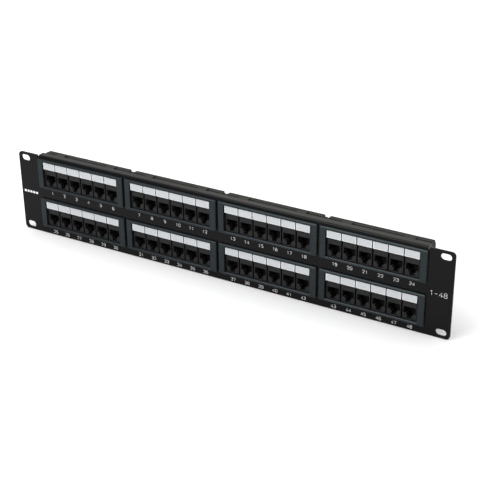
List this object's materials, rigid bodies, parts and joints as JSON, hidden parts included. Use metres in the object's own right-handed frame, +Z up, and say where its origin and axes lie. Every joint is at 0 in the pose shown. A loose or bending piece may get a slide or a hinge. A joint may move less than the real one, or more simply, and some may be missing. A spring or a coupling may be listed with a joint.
{
  "type": "patch panel",
  "caption": "Rack-mounted patch panel: folded steel front with framed rows of modular jacks, blank label tiles above them, and punch-down blocks behind.",
  "frame": {"origin": "centre of the four rack slots, on the rear face of the ears, which seats on the rack rails", "axes": "+X along the panel to the right as seen from the front, +Y from the front to the rear, +Z up; the ports face -Y"},
  "size_m": [0.4826, 0.0385, 0.0882],
  "materials": {
    "panel_black": "fine-textured black powder coat, satin",
    "bezel_plastic": "fine-grained charcoal moulded plastic",
    "carrier_plastic": "matt dark grey moulded plastic",
    "jack_plastic": "black moulded plastic, slightly satin",
    "contact_gold": "gold-plated spring wire",
    "label_white": "white matt label card, blank",
    "board_green": "dark green solder mask",
    "punchdown_plastic": "black moulded plastic",
    "clip_metal": "tin-plated bronze",
    "screw_steel": "zinc-plated steel"
  },
  "bodies": {
    "panel": {"rack_panel": "panel_black", "front_bezel_1": "bezel_plastic", "front_bezel_2": "bezel_plastic", "front_bezel_3": "bezel_plastic", "front_bezel_4": "bezel_plastic", "front_bezel_5": "bezel_plastic", "front_bezel_6": "bezel_plastic", "front_bezel_7": "bezel_plastic", "front_bezel_8": "bezel_plastic", "rear_carrier_1": "carrier_plastic", "rear_carrier_2": "carrier_plastic", "rear_carrier_3": "carrier_plastic", "rear_carrier_4": "carrier_plastic", "rear_carrier_5": "carrier_plastic", "rear_carrier_6": "carrier_plastic", "rear_carrier_7": "carrier_plastic", "rear_carrier_8": "carrier_plastic", "jack_set_1": "jack_plastic", "jack_set_2": "jack_plastic", "jack_set_3": "jack_plastic", "jack_set_4": "jack_plastic", "jack_set_5": "jack_plastic", "jack_set_6": "jack_plastic", "jack_set_7": "jack_plastic", "jack_set_8": "jack_plastic", "port_labels_1": "label_white", "port_labels_2": "label_white", "port_labels_3": "label_white", "port_labels_4": "label_white", "port_labels_5": "label_white", "port_labels_6": "label_white", "port_labels_7": "label_white", "port_labels_8": "label_white", "circuit_board_1": "board_green", "circuit_board_2": "board_green", "circuit_board_3": "board_green", "circuit_board_4": "board_green", "circuit_board_5": "board_green", "circuit_board_6": "board_green", "circuit_board_7": "board_green", "circuit_board_8": "board_green", "punchdown_block_1": "punchdown_plastic", "punchdown_block_2": "punchdown_plastic", "punchdown_block_3": "punchdown_plastic", "punchdown_block_4": "punchdown_plastic", "punchdown_block_5": "punchdown_plastic", "punchdown_block_6": "punchdown_plastic", "punchdown_block_7": "punchdown_plastic", "punchdown_block_8": "punchdown_plastic", "contact_tails": "contact_gold", "insulation_clips": "clip_metal", "board_screws": "screw_steel"},
    "contacts_1": {"contact_springs_1": "contact_gold"},
    "contacts_2": {"contact_springs_2": "contact_gold"},
    "contacts_3": {"contact_springs_3": "contact_gold"},
    "contacts_4": {"contact_springs_4": "contact_gold"},
    "contacts_5": {"contact_springs_5": "contact_gold"},
    "contacts_6": {"contact_springs_6": "contact_gold"},
    "contacts_7": {"contact_springs_7": "contact_gold"},
    "contacts_8": {"contact_springs_8": "contact_gold"}
  },
  "joints": [
    {"name": "contact_flex_1", "type": "hinge", "parent": "panel", "child": "contacts_1", "pos_m": [-0.16305, 0.0012, 0.0257], "axis": [1, 0, 0], "range_deg": [0, 12], "stiffness_Nm_per_rad": 0.02},
    {"name": "contact_flex_2", "type": "hinge", "parent": "panel", "child": "contacts_2", "pos_m": [-0.05435, 0.0012, 0.0257], "axis": [1, 0, 0], "range_deg": [0, 12], "stiffness_Nm_per_rad": 0.02},
    {"name": "contact_flex_3", "type": "hinge", "parent": "panel", "child": "contacts_3", "pos_m": [0.05435, 0.0012, 0.0257], "axis": [1, 0, 0], "range_deg": [0, 12], "stiffness_Nm_per_rad": 0.02},
    {"name": "contact_flex_4", "type": "hinge", "parent": "panel", "child": "contacts_4", "pos_m": [0.16305, 0.0012, 0.0257], "axis": [1, 0, 0], "range_deg": [0, 12], "stiffness_Nm_per_rad": 0.02},
    {"name": "contact_flex_5", "type": "hinge", "parent": "panel", "child": "contacts_5", "pos_m": [-0.16305, 0.0012, -0.01875], "axis": [1, 0, 0], "range_deg": [0, 12], "stiffness_Nm_per_rad": 0.02},
    {"name": "contact_flex_6", "type": "hinge", "parent": "panel", "child": "contacts_6", "pos_m": [-0.05435, 0.0012, -0.01875], "axis": [1, 0, 0], "range_deg": [0, 12], "stiffness_Nm_per_rad": 0.02},
    {"name": "contact_flex_7", "type": "hinge", "parent": "panel", "child": "contacts_7", "pos_m": [0.05435, 0.0012, -0.01875], "axis": [1, 0, 0], "range_deg": [0, 12], "stiffness_Nm_per_rad": 0.02},
    {"name": "contact_flex_8", "type": "hinge", "parent": "panel", "child": "contacts_8", "pos_m": [0.16305, 0.0012, -0.01875], "axis": [1, 0, 0], "range_deg": [0, 12], "stiffness_Nm_per_rad": 0.02}
  ]
}
